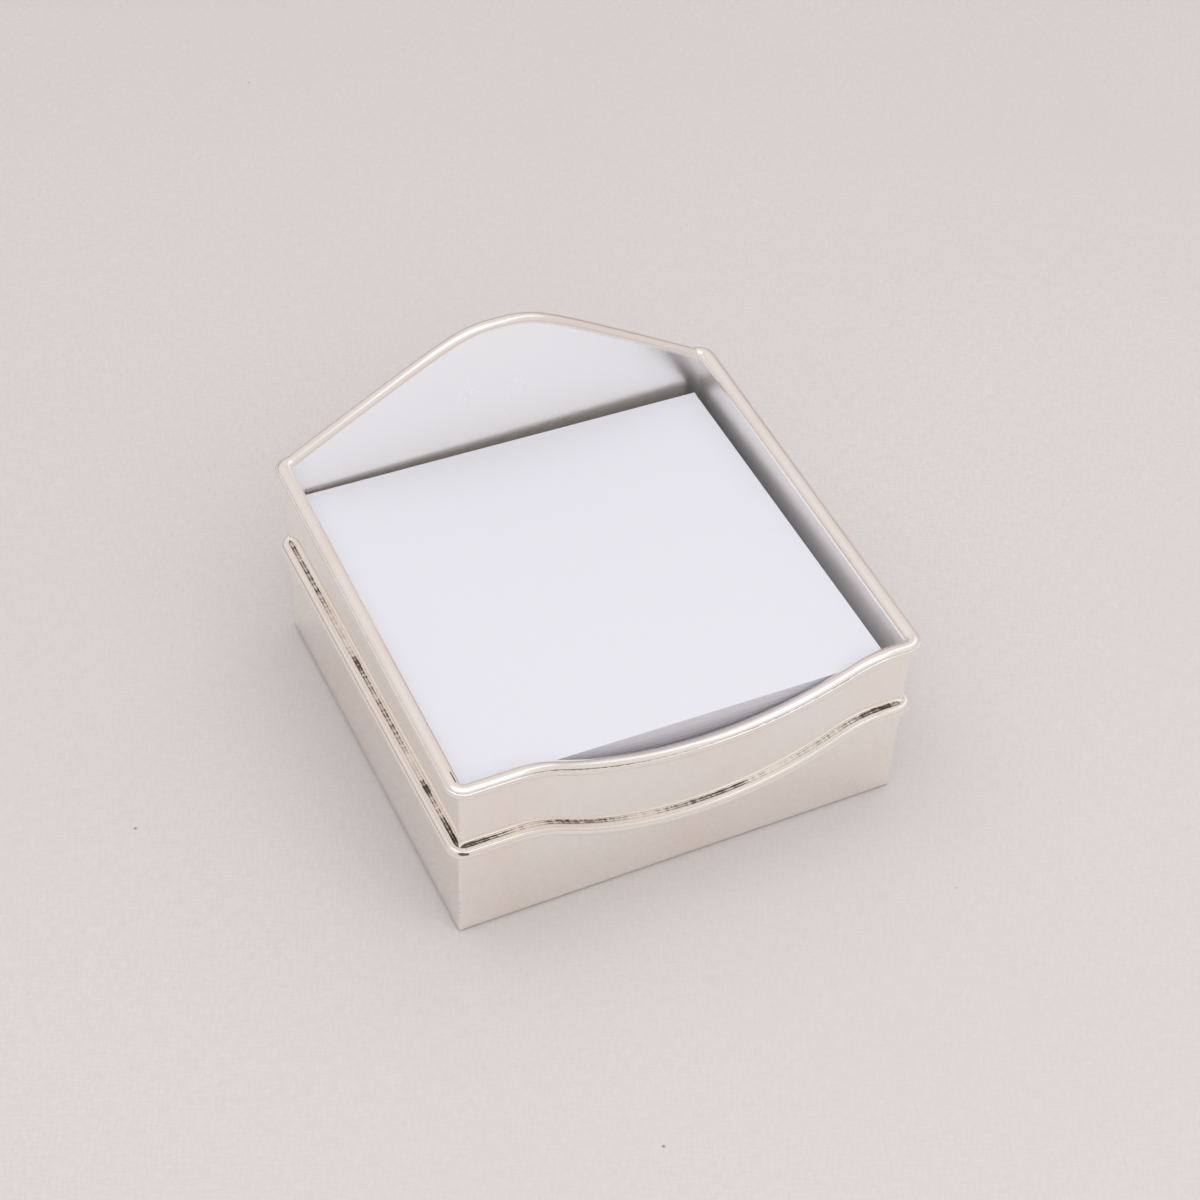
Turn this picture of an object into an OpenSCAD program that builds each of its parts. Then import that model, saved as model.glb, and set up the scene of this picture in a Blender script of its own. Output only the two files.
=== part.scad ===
// Silver desk tray for a block of note paper.
// Four polished sheet walls stand round the block. The front wall dips for the thumb and the back
// wall rises in a bell arch. A round wire is soldered round the rim, and a second one, the girdle,
// round the outside lower down. The tray stands on a baize pad under its floor.
// Origin: middle of the underside. +X is the right side, -Y the front, +Z up. Millimetres.

/* [Note block] */
// Width of the note paper, left to right
paper_w = 93; // [70:1:110]
// Depth of the note paper, front to back
paper_d = 90; // [70:1:110]
// Thickness of the stack of sheets under the top one
stack_h = 35.5; // [20:0.1:36]
// Thickness of the sheet on top
sheet_t = 0.3; // [0.2:0.05:0.5]
// Thickness of the card behind the stack
card_t = 1.0; // [0.6:0.1:2]
// Thickness of the gum that binds the back edge
gum_t = 0.3; // [0.2:0.05:0.4]
// Free height left above the gum, where the top sheet turns up
gum_relief = 0.1; // [0.05:0.05:0.5]
// How far the block rests left of the middle of the tray
block_left = 0.7; // [0:0.1:0.8]
// How far the block rests in front of the middle of the tray
block_front = 0.2; // [0:0.1:0.4]
// Angle that the block rests turned, clockwise from above
block_turn = 0.9; // [0:0.1:1]

/* [Tray] */
// Room between the block and each side wall
side_gap = 2; // [2:0.1:5]
// Room between the block and the front and back walls
end_gap = 1.4; // [1.4:0.1:5]
// Thickness of the sheet silver of the walls
wall_t = 1.1; // [0.8:0.1:2]
// Thickness of the floor
floor_t = 1.0; // [0.6:0.1:2]
// Height of the rim at the front corners
rim_front_h = 44; // [41:0.1:55]
// Height of the rim at the back corners
rim_back_h = 48.3; // [41:0.1:60]

/* [Front dip] */
// Depth of the dip below the rim at the front corners
dip_depth = 8.5; // [2:0.1:12]
// Level length of rim between the left front corner and the dip
shoulder_left = 11.8; // [4:0.1:20]
// Level length of rim between the right front corner and the dip
shoulder_right = 5; // [4:0.1:20]
// Radius of the round knuckle at each end of the dip
knuckle_r = 22; // [8:0.5:30]

/* [Back arch] */
// Rise of the arch above the back corners
arch_rise = 23; // [10:0.5:40]
// Distance either side of the middle over which the crown turns
crown_half = 9; // [4:0.5:15]

/* [Wires] */
// Diameter of the wire round the rim
rim_wire_d = 2.4; // [1.6:0.1:3.6]
// Diameter of the girdle wire
girdle_wire_d = 2.4; // [1.6:0.1:3.6]
// Depth of the flat along which a wire is soldered to the wall
solder_flat = 0.15; // [0.05:0.05:0.3]
// Distance from each wall corner at which a wire starts to bend
corner_ease = 1.6; // [0.3:0.1:2]
// Height of the girdle wire's centre at the corners
girdle_h = 25; // [14:0.5:30]
// Depth of the girdle's dip below its corners
girdle_dip = 9.8; // [2:0.1:11]

/* [Underside] */
// Thickness of the baize pad under the floor
baize_t = 1.5; // [1:0.1:3]
// How far the baize stands below the bottom edges of the walls
baize_proud = 0.5; // [0.2:0.1:0.9]
// Room between the baize and the walls
baize_gap = 0.6; // [0.2:0.1:2]

/* [Hidden] */

SILVER = [0.86, 0.84, 0.82];
PAPER = [0.93, 0.93, 0.96];
CARD = [0.62, 0.58, 0.52];
GUM = [0.95, 0.94, 0.90];
BAIZE = [0.12, 0.20, 0.16];

// Tray, taken from the block and its room
inner_w = paper_w + 2 * side_gap;
inner_d = paper_d + 2 * end_gap;
tray_w = inner_w + 2 * wall_t;
tray_d = inner_d + 2 * wall_t;
floor_top = baize_t + floor_t;
stack_base = floor_top + card_t;
sheet_base = stack_base + stack_h;

// The rim wire's centre lies this far below the rim, so that their tops are level
rim_drop = rim_wire_d / 2;

// Dip, between its two shoulders
dip_mid = (shoulder_left - shoulder_right) / 2;
dip_half = (tray_w - shoulder_left - shoulder_right) / 2;

// Steps along a curved run and round a wire
run_steps = 48;
bend_steps = 6;
wire_sides = 14;

// How far the rim lies below its corners, u from the middle of the dip.
// A hollow arc and a round knuckle meet with one slope.
function dip_drop(u, depth) =
    let (
        hollow_r = (dip_half * dip_half + depth * depth) / (2 * depth) - knuckle_r,
        join_u = dip_half * hollow_r / (hollow_r + knuckle_r)
    )
    u <= join_u ? depth - hollow_r + sqrt(max(hollow_r * hollow_r - u * u, 0))
    : u < dip_half ? knuckle_r - sqrt(knuckle_r * knuckle_r - (dip_half - u) * (dip_half - u))
    : 0;

// Half the length of a long wire between its bends
wire_half = tray_w / 2 - corner_ease;

// How far the arch stands above the back corners, u from its middle.
// Near the middle it is flat, and towards the bends of the wire it nears a straight slope.
function arch_reach(u) = pow(u * u * u + crown_half * crown_half * crown_half, 1 / 3) - crown_half;
function arch_lift(u) = arch_rise * (1 - arch_reach(min(u, wire_half)) / arch_reach(wire_half));

function front_top(x) = rim_front_h - dip_drop(abs(x - dip_mid), dip_depth);
function back_top(x) = rim_back_h + arch_lift(abs(x));
function girdle_front(x) = girdle_h - dip_drop(abs(x - dip_mid), girdle_dip);

// Places along a wall and along a long wire, from the left end to the right end
stations = [for (i = [0 : run_steps]) tray_w * (i / run_steps - 0.5)];
wire_places = [for (i = [0 : run_steps]) wire_half * (2 * i / run_steps - 1)];

// A wire station is its centre, the way it faces from the wall, and its distance to the wall.
// Stations of a quarter bend round the wall corner [cx, cy], which starts facing the given angle.
// The corner is let into the bend, so that the bend can be wider than the corner.
function bend(cx, cy, z, start, reach) =
    [for (i = [0 : bend_steps])
        let (
            angle = start + 90 * i / bend_steps,
            facing = [cos(angle), sin(angle), 0],
            pivot = [cx - sign(cx) * corner_ease, cy - sign(cy) * corner_ease, z],
            wall = corner_ease / max(abs(facing[0]), abs(facing[1])),
            centre = reach + corner_ease
        )
        [pivot + centre * facing, facing, centre - wall]];

// Outline of a wire across its run: round, with a flat on the wall side
function section(radius, reach) =
    let (open = 180 - acos(reach / radius))
    [for (i = [0 : wire_sides - 1])
        let (angle = open * (2 * i / (wire_sides - 1) - 1))
        [radius * cos(angle), radius * sin(angle)]];

function unit(v) = v / norm(v);

// Sweeps a wire along its stations, anticlockwise round the tray, as one closed solid.
// Its ends are upright, so that neighbouring lengths meet face to face.
module wire(stops, diameter) {
    last = len(stops) - 1;
    points = [for (i = [0 : last])
        let (
            run = unit(stops[min(i + 1, last)][0] - stops[max(i - 1, 0)][0]),
            facing = stops[i][1],
            across = i == 0 || i == last ? [0, 0, -1] : unit(cross(run, facing))
        )
        for (p = section(diameter / 2, stops[i][2])) stops[i][0] + p[0] * facing + p[1] * across];
    sides = [for (i = [0 : last - 1], j = [0 : wire_sides - 1])
        let (
            k = (j + 1) % wire_sides,
            a = i * wire_sides,
            b = a + wire_sides
        )
        for (face = [[a + j, b + j, b + k], [a + j, b + k, a + k]]) face];
    first_cap = [for (j = [0 : wire_sides - 1]) j];
    last_cap = [for (j = [wire_sides - 1 : -1 : 0]) last * wire_sides + j];
    polyhedron(points, concat([first_cap], sides, [last_cap]));
}

// Wire along the front (side -1) or the back (side 1), with the bends at both its ends.
// level is its height at the corners and heights[i] its height at wire_places[i].
module long_wire(side, diameter, level, heights) {
    reach = diameter / 2 - solder_flat;
    x = side * tray_w / 2;
    y = side * tray_d / 2;
    start = side > 0 ? 0 : 180;
    along = [for (i = [1 : run_steps - 1])
        let (k = side > 0 ? run_steps - i : i)
        [[wire_places[k], y + side * reach, heights[k]], [0, side, 0], reach]];
    wire(concat(bend(x, y, level, start, reach), along, bend(-x, y, level, start + 90, reach)), diameter);
}

// Straight wire along the left (side -1) or the right (side 1), between two bends
module side_wire(side, diameter, front_level, back_level) {
    reach = diameter / 2 - solder_flat;
    x = side * (tray_w / 2 + reach);
    y = side * (tray_d / 2 - corner_ease);
    near = side > 0 ? front_level : back_level;
    far = side > 0 ? back_level : front_level;
    wire([[[x, -y, near], [side, 0, 0], reach], [[x, y, far], [side, 0, 0], reach]], diameter);
}

// Wall run along X with mitred ends: the outline [x, z] goes on the outer face at -Y
module mitred_wall(length, outline, height) {
    intersection() {
        rotate([90, 0, 0])
            linear_extrude(wall_t)
                polygon(outline);
        translate([0, 0, baize_proud])
            linear_extrude(height - baize_proud)
                polygon([
                    [-length / 2, -wall_t],
                    [length / 2, -wall_t],
                    [length / 2 - wall_t, 0],
                    [-length / 2 + wall_t, 0]
                ]);
    }
}

// Wall as wide as the tray, whose top edge has the height tops[i] at stations[i]
module shaped_wall(tops) {
    top_edge = [for (i = [0 : run_steps]) [stations[i], tops[i]]];
    mitred_wall(tray_w, concat([[tray_w / 2, 0], [-tray_w / 2, 0]], top_edge), max(tops));
}

module front_panel() {
    color(SILVER)
        translate([0, -inner_d / 2, 0])
            shaped_wall([for (x = stations) front_top(x)]);
}

module back_panel() {
    color(SILVER)
        translate([0, inner_d / 2, 0])
            rotate([0, 0, 180])
                shaped_wall([for (x = stations) back_top(x)]);
}

// Side wall: side is 1 on the right and -1 on the left
module side_panel(side) {
    near_h = side > 0 ? rim_front_h : rim_back_h;
    far_h = side > 0 ? rim_back_h : rim_front_h;
    outline = [
        [-tray_d / 2, 0],
        [tray_d / 2, 0],
        [tray_d / 2, far_h],
        [-tray_d / 2, near_h]
    ];
    color(SILVER)
        translate([side * inner_w / 2, 0, 0])
            rotate([0, 0, side * 90])
                mitred_wall(tray_d, outline, rim_back_h);
}

module left_panel() {
    side_panel(-1);
}

module right_panel() {
    side_panel(1);
}

module base_plate() {
    color(SILVER)
        translate([-inner_w / 2, -inner_d / 2, baize_t])
            cube([inner_w, inner_d, floor_t]);
}

module rim_wire_front() {
    color(SILVER)
        long_wire(-1, rim_wire_d, rim_front_h - rim_drop, [for (x = wire_places) front_top(x) - rim_drop]);
}

module rim_wire_back() {
    color(SILVER)
        long_wire(1, rim_wire_d, rim_back_h - rim_drop, [for (x = wire_places) back_top(x) - rim_drop]);
}

module rim_wire_left() {
    color(SILVER)
        side_wire(-1, rim_wire_d, rim_front_h - rim_drop, rim_back_h - rim_drop);
}

module rim_wire_right() {
    color(SILVER)
        side_wire(1, rim_wire_d, rim_front_h - rim_drop, rim_back_h - rim_drop);
}

module girdle_wire_front() {
    color(SILVER)
        long_wire(-1, girdle_wire_d, girdle_h, [for (x = wire_places) girdle_front(x)]);
}

module girdle_wire_back() {
    color(SILVER)
        long_wire(1, girdle_wire_d, girdle_h, [for (x = wire_places) girdle_h]);
}

module girdle_wire_left() {
    color(SILVER)
        side_wire(-1, girdle_wire_d, girdle_h, girdle_h);
}

module girdle_wire_right() {
    color(SILVER)
        side_wire(1, girdle_wire_d, girdle_h, girdle_h);
}

module baize_pad() {
    color(BAIZE)
        translate([-inner_w / 2 + baize_gap, -inner_d / 2 + baize_gap, 0])
            cube([inner_w - 2 * baize_gap, inner_d - 2 * baize_gap, baize_t]);
}

// Moves a piece of the block from the middle of the tray to where the block rests
module resting() {
    translate([-block_left, -block_front, 0])
        rotate([0, 0, -block_turn])
            children();
}

// Flat layer of the block, as wide and deep as the paper
module paper_layer(base, thickness) {
    resting()
        translate([-paper_w / 2, -paper_d / 2, base])
            cube([paper_w, paper_d, thickness]);
}

module backing_card() {
    color(CARD)
        paper_layer(floor_top, card_t);
}

module note_block() {
    color(PAPER)
        paper_layer(stack_base, stack_h);
}

module gum_strip() {
    color(GUM)
        resting()
            translate([-paper_w / 2, paper_d / 2, floor_top])
                cube([paper_w, gum_t, card_t + stack_h - gum_relief]);
}

module top_sheet() {
    color(PAPER)
        paper_layer(sheet_base, sheet_t);
}

front_panel();
back_panel();
left_panel();
right_panel();
base_plate();
rim_wire_front();
rim_wire_back();
rim_wire_left();
rim_wire_right();
girdle_wire_front();
girdle_wire_back();
girdle_wire_left();
girdle_wire_right();
baize_pad();
backing_card();
note_block();
gum_strip();
top_sheet();
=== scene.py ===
"""Silver desk tray for a block of note paper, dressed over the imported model."""
import math
import random

import bmesh
import bpy
from bpy.props import FloatProperty, FloatVectorProperty, IntProperty, PointerProperty
from mathutils import Matrix, Vector, noise


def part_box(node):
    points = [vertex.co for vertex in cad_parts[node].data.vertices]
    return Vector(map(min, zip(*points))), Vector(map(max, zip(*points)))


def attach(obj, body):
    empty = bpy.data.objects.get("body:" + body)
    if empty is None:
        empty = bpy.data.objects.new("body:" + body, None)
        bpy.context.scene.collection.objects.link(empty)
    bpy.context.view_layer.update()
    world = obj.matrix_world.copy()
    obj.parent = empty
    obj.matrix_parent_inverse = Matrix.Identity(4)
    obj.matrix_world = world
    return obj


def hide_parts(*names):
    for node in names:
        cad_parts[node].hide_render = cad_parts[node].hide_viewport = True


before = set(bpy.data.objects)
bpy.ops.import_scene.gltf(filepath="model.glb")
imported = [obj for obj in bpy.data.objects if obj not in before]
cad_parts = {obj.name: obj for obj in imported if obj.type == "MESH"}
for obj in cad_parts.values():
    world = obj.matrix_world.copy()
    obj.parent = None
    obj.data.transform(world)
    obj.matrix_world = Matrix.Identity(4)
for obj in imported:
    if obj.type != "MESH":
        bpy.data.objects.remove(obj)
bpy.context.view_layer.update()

bl_info = {
    "name": "Silver Note Tray",
    "version": (1, 0, 0),
    "blender": (4, 5, 0),
    "location": "View3D > Sidebar > Note Tray",
    "description": "Builds a polished silver desk tray with a block of note paper",
    "category": "Add Mesh",
}

MM = 0.001

# The body that each piece rides on
TRAY = "tray"
PAD = "note_pad"
LOOSE = "loose_sheet"


def node_box(name):
    """Lowest and highest corner of a CAD node, as vectors."""
    low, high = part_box(name)
    return Vector(low), Vector(high)


FRONT_LOW, FRONT_HIGH = node_box("front_panel")
GIRDLE_LOW, GIRDLE_HIGH = node_box("girdle_wire_back")

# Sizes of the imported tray: the walls stand round the floor plate
HALF_WIDTH = FRONT_HIGH.x
HALF_DEPTH = -FRONT_LOW.y
WALL = HALF_WIDTH - node_box("base_plate")[1].x
FOOT = FRONT_LOW.z
RIM_FRONT = FRONT_HIGH.z
RIM_BACK = node_box("left_panel")[1].z
ARCH_RISE = node_box("back_panel")[1].z - RIM_BACK
GIRDLE_RADIUS = (GIRDLE_HIGH.z - GIRDLE_LOW.z) / 2
GIRDLE_HEIGHT = (GIRDLE_HIGH.z + GIRDLE_LOW.z) / 2

# Depth to which a wire is let into the wall, and where it starts to turn round a corner
SOLDER_FLAT = 0.15 * MM
CORNER_EASE = 1.6 * MM
# Round of the walls' outer corners and of the rim's inner edge
CORNER_ROUND = 0.35 * MM
INNER_ROUND = 0.35 * MM
# Height of the rim moulding that caps the walls
CAP = 1.2 * MM
# Which of a run's two heights a sweep follows
RIM, GIRDLE = 0, 1
# Stations of a sweep on the front and back, on the sides, and in each bend
LONG_STEPS = 200
SIDE_STEPS = 160
BEND_STEPS = 14
# Step over which a run's slope is measured
SLOPE_STEP = 0.05 * MM


class TraySizes(bpy.types.PropertyGroup):
    """Sizes of the tray that its outline is drawn from."""

    dip_depth: FloatProperty(
        name="Dip depth", description="Depth of the thumb dip in the front wall",
        default=8.5 * MM, min=2 * MM, max=12 * MM, unit="LENGTH")
    shoulder_left: FloatProperty(
        name="Left shoulder", description="Level rim left of the dip",
        default=11.8 * MM, min=4 * MM, max=20 * MM, unit="LENGTH")
    shoulder_right: FloatProperty(
        name="Right shoulder", description="Level rim right of the dip",
        default=5 * MM, min=4 * MM, max=20 * MM, unit="LENGTH")
    knuckle: FloatProperty(
        name="Knuckle radius", description="Round at each end of the dip",
        default=22 * MM, min=8 * MM, max=30 * MM, unit="LENGTH")
    crown: FloatProperty(
        name="Crown half width", description="How wide the top of the back arch turns",
        default=9 * MM, min=4 * MM, max=15 * MM, unit="LENGTH")
    girdle_dip: FloatProperty(
        name="Girdle dip", description="Depth of the girdle wire's dip on the front",
        default=9.8 * MM, min=2 * MM, max=11 * MM, unit="LENGTH")
    rim_radius: FloatProperty(
        name="Rim wire radius", description="Half the thickness of the rim wire",
        default=1.2 * MM, min=0.8 * MM, max=1.8 * MM, unit="LENGTH")
    sheets: IntProperty(
        name="Sheets shown", description="Layers that show on the sides of the block",
        default=96, min=20, max=200)


class TrayFinish(bpy.types.PropertyGroup):
    """Colours of the tray, the paper and the stage."""

    silver: FloatVectorProperty(
        name="Silver", description="Polished silver", subtype="COLOR", size=3,
        min=0, max=1, default=(0.985, 0.955, 0.915))
    # The tarnish colour also paints dark reflections: a spot on the rim's front right corner and one
    # on the girdle's front left corner.
    tarnish_and_painted_reflection: FloatVectorProperty(
        name="Tarnish", description="Dark film left in the seams", subtype="COLOR", size=3,
        min=0, max=1, default=(0.085, 0.068, 0.050))
    paper: FloatVectorProperty(
        name="Paper", description="Note paper", subtype="COLOR", size=3,
        min=0, max=1, default=(0.745, 0.753, 0.800))
    card: FloatVectorProperty(
        name="Card", description="Card behind the block", subtype="COLOR", size=3,
        min=0, max=1, default=(0.36, 0.31, 0.24))
    baize: FloatVectorProperty(
        name="Baize", description="Wool pad under the tray", subtype="COLOR", size=3,
        min=0, max=1, default=(0.030, 0.060, 0.042))
    cloth: FloatVectorProperty(
        name="Cloth", description="Pale cloth under the tray", subtype="COLOR", size=3,
        min=0, max=1, default=(0.690, 0.660, 0.645))
    lamp_level: FloatProperty(
        name="Lamp level", description="Brightness of the soft lamps against the room",
        min=0, max=2, default=1.0)
    sky_strength: FloatProperty(
        name="Room light", description="Strength of the light from the room",
        default=0.87, min=0, max=2)


def sizes():
    """Sizes that the user has set."""
    return bpy.context.scene.tray_sizes


def finish():
    """Colours and light that the user has set."""
    return bpy.context.scene.tray_finish


# Outlines of the walls and wires


def dip_middle():
    """Distance of the dip's middle to the right of the tray's."""
    return (sizes().shoulder_left - sizes().shoulder_right) / 2


def dip_drop(along, depth):
    """How far the front lies below its corners.

    The dip is a hollow arc in the middle and a round knuckle at each end, which meet at one slope.
    """
    knuckle = sizes().knuckle
    half = (2 * HALF_WIDTH - sizes().shoulder_left - sizes().shoulder_right) / 2
    hollow = (half * half + depth * depth) / (2 * depth) - knuckle
    join = half * hollow / (hollow + knuckle)
    u = abs(along - dip_middle())
    if u <= join:
        return depth - hollow + math.sqrt(max(hollow * hollow - u * u, 0))
    if u < half:
        return knuckle - math.sqrt(knuckle * knuckle - (half - u) ** 2)
    return 0.0


def arch_lift(along):
    """How far the back stands above its corners: round at the crown, almost straight below it."""
    crown = sizes().crown

    def reach(u):
        return (abs(u) ** 3 + crown ** 3) ** (1 / 3) - crown

    half = HALF_WIDTH - CORNER_EASE
    return ARCH_RISE * (1 - reach(min(abs(along), half)) / reach(half))


def side_rise(share):
    """Height of a side rim, share running from 0 at the front to 1 at the back."""
    return RIM_FRONT + (RIM_BACK - RIM_FRONT) * min(max(share, 0.0), 1.0)


# The four runs, anticlockwise from the front. Each gives the rim's and the girdle's height
# at a distance along it, measured from its middle in the direction of travel.
RUNS = (
    ("front", -90, HALF_WIDTH, HALF_DEPTH,
     lambda s: RIM_FRONT - dip_drop(s, sizes().dip_depth),
     lambda s: GIRDLE_HEIGHT - dip_drop(s, sizes().girdle_dip)),
    ("right", 0, HALF_DEPTH, HALF_WIDTH,
     lambda s: side_rise(0.5 + s / (2 * (HALF_DEPTH - CORNER_EASE))),
     lambda s: GIRDLE_HEIGHT),
    ("back", 90, HALF_WIDTH, HALF_DEPTH,
     lambda s: RIM_BACK + arch_lift(s),
     lambda s: GIRDLE_HEIGHT),
    ("left", 180, HALF_DEPTH, HALF_WIDTH,
     lambda s: side_rise(0.5 - s / (2 * (HALF_DEPTH - CORNER_EASE))),
     lambda s: GIRDLE_HEIGHT),
)


def facing(degrees):
    """Level unit vector at an angle from +X."""
    return Vector((math.cos(math.radians(degrees)), math.sin(math.radians(degrees)), 0))


def slope_at(height, along):
    """Slope of a run's height at a distance along it, in radians."""
    rise = height(along + SLOPE_STEP) - height(along - SLOPE_STEP)
    return math.atan2(rise, 2 * SLOPE_STEP)


class Stop:
    """One station of a sweep round the tray, on a run or in the bend after it.

    place runs from -1 to 1 along a run, and from 0 to 1 in a bend.
    """

    def __init__(self, kind, run, place, wire):
        self.kind, self.place = kind, place
        self.name, self.angle, self.half, self.out, *heights = RUNS[run]
        self.height = heights[wire]
        following = RUNS[(run + 1) % 4]
        self.next_half, self.next_height = following[2], following[4 + wire]

    def at(self, out, lift, level):
        """Point at a distance out from the wall plane and lifted off the sweep's line, and its lean.

        level is how far the line lies below the height of the run.
        """
        radius = max(out + CORNER_EASE, INNER_ROUND)
        if self.kind == "run":
            away = facing(self.angle)
            ahead = facing(self.angle + 90)
            along = self.place * (self.half + out - radius)
            lean = slope_at(self.height, along)
            base = ahead * along + away * (self.out + out)
            base.z = self.height(along) - level
        else:
            away = facing(self.angle + 90 * self.place)
            ahead = facing(self.angle + 90 * self.place + 90)
            first, second = facing(self.angle), facing(self.angle + 90)
            inward = out - radius
            pivot = first * (self.out + inward) + second * (self.half + inward)
            start = slope_at(self.height, self.half - CORNER_EASE)
            end = slope_at(self.next_height, -self.next_half + CORNER_EASE)
            lean = start + (end - start) * self.place
            base = pivot + away * radius
            base.z = self.height(self.half) - level
        upward = Vector((0, 0, 1)) * math.cos(lean) - ahead * math.sin(lean)
        return base + upward * lift, lean


def stops(wire):
    """Stations all round the tray, for the rim's wire or the girdle's."""
    made = []
    for run in range(4):
        steps = LONG_STEPS if run % 2 == 0 else SIDE_STEPS
        made += [Stop("run", run, 2 * i / steps - 1, wire) for i in range(steps + 1)]
        made += [Stop("bend", run, i / BEND_STEPS, wire) for i in range(1, BEND_STEPS)]
    return made


# Meshes


def added(name, data):
    """Puts a new object of this data in the scene."""
    piece = bpy.data.objects.new(name, data)
    bpy.context.scene.collection.objects.link(piece)
    return piece


def skin(name, rings, closed=False):
    """Joins rings of points, each closed on itself, into one solid mesh object.

    closed joins the last ring to the first. Otherwise both are capped.
    """
    bm = bmesh.new()
    rows = [[bm.verts.new(p) for p in ring] for ring in rings]
    count = len(rings[0])
    last = len(rows) if closed else len(rows) - 1
    for i in range(last):
        a, b = rows[i], rows[(i + 1) % len(rows)]
        for j in range(count):
            k = (j + 1) % count
            bm.faces.new((a[j], b[j], b[k], a[k]))
    if not closed:
        bm.faces.new(rows[0])
        bm.faces.new(list(reversed(rows[-1])))
    bmesh.ops.recalc_face_normals(bm, faces=bm.faces)
    mesh = bpy.data.meshes.new(name)
    bm.to_mesh(mesh)
    bm.free()
    return added(name, mesh)


def smooth(piece, degrees=32):
    """Shades a piece smooth, apart from edges that turn by more than this."""
    mesh = piece.data
    mesh.polygons.foreach_set("use_smooth", [True] * len(mesh.polygons))
    mesh.set_sharp_from_angle(angle=math.radians(degrees))
    mesh.update()
    return piece


def mark(piece, values, label="tarnish_and_painted_reflection"):
    """Stores one number for each vertex, which the material reads by its label."""
    layer = piece.data.attributes.new(label, "FLOAT", "POINT")
    layer.data.foreach_set("value", values)


def place(piece, body, material, slot, *nodes):
    """Gives a piece its material and its place in the frame."""
    piece.data.materials.append(material)
    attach(piece, body)
    if nodes:
        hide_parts(*nodes)


def refinish(node, material):
    """Gives a CAD node that stays its material."""
    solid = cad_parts[node].data
    solid.materials.clear()
    solid.materials.append(material)


# Materials


# Sockets of a Mix node that mixes colours
MIX_FACTOR = 0
MIX_COLOURS = (6, 7)
MIX_RESULT = 2


class Paint:
    """Builds the node tree of one procedural material."""

    def __init__(self, name):
        self.material = bpy.data.materials.new(name)
        self.material.use_nodes = True
        self.tree = self.material.node_tree
        self.tree.nodes.clear()
        self.output = self.add("OutputMaterial")
        self.shader = self.add("BsdfPrincipled")
        self.link(self.shader, "BSDF", self.output, "Surface")
        self.place = self.add("TexCoord")

    def add(self, kind, **settings):
        """A new node, by the end of its type's name."""
        node = self.tree.nodes.new("ShaderNode" + kind)
        for key, value in settings.items():
            setattr(node, key, value)
        return node

    def link(self, source, out, target, into):
        self.tree.links.new(source.outputs[out], target.inputs[into])

    def set(self, **values):
        """Sets sockets of the shader, with _ for a space in a name."""
        for key, value in values.items():
            self.shader.inputs[key.replace("_", " ")].default_value = value

    def mapped(self, scale):
        node = self.add("Mapping")
        node.inputs["Scale"].default_value = scale
        self.link(self.place, "Object", node, "Vector")
        return node

    def noise(self, scale, detail=3.0, rough=0.5, stretch=(1, 1, 1), distortion=0.0):
        """Noise in the piece's own metres, so scale counts its grains in a metre."""
        node = self.add("TexNoise")
        node.inputs["Scale"].default_value = scale
        node.inputs["Detail"].default_value = detail
        node.inputs["Roughness"].default_value = rough
        node.inputs["Distortion"].default_value = distortion
        self.link(self.mapped(stretch), "Vector", node, "Vector")
        return node

    def span(self, source, out, low, high, to_low=0.0, to_high=1.0):
        """Maps a value from one range to another, held at its ends."""
        node = self.add("MapRange")
        node.clamp = True
        ends = {"From Min": low, "From Max": high, "To Min": to_low, "To Max": to_high}
        for key, value in ends.items():
            node.inputs[key].default_value = value
        self.link(source, out, node, "Value")
        return node

    def maths(self, operation, first, second):
        """first and second are a pair of node and output, or a number."""
        node = self.add("Math", operation=operation)
        for i, value in enumerate((first, second)):
            if isinstance(value, tuple):
                self.link(*value, node, i)
            else:
                node.inputs[i].default_value = value
        return node

    def blend(self, factor, first, second):
        """Mixes two colours, each a triple or an earlier mix. factor is a pair of node and output."""
        node = self.add("Mix", data_type="RGBA", blend_type="MIX")
        self.link(*factor, node, MIX_FACTOR)
        for i, value in zip(MIX_COLOURS, (first, second)):
            if isinstance(value, tuple):
                node.inputs[i].default_value = (*value, 1)
            else:
                self.link(value, MIX_RESULT, node, i)
        return node

    def colour(self, mix):
        self.link(mix, MIX_RESULT, self.shader, "Base Color")

    def relief(self, parts):
        """Chains bumps, each a node, its output, a strength and a depth in metres."""
        before = None
        for node, out, strength, depth in parts:
            bump = self.add("Bump")
            bump.inputs["Strength"].default_value = strength
            bump.inputs["Distance"].default_value = depth
            self.link(node, out, bump, "Height")
            if before:
                self.link(before, "Normal", bump, "Normal")
            before = bump
        self.link(before, "Normal", self.shader, "Normal")


def tinted(colour, share):
    """A colour made darker or lighter."""
    return tuple(c * share for c in colour)


# Share of the silver's colour in its warmer clouds, and tint of the duller inside of the tray
WARM_CLOUD = (0.985, 0.955, 0.935)
INSIDE_TINT = (0.99, 0.975, 0.955)
# Colour of tarnish where it is thin, and how much rougher than polish tarnish and the inside are
THIN_TARNISH = (0.17, 0.165, 0.15)
TARNISH_ROUGH = 0.35
INSIDE_ROUGH = 0.24
# How much rougher the rubbed patches are
RUBBED = 0.07


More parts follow.
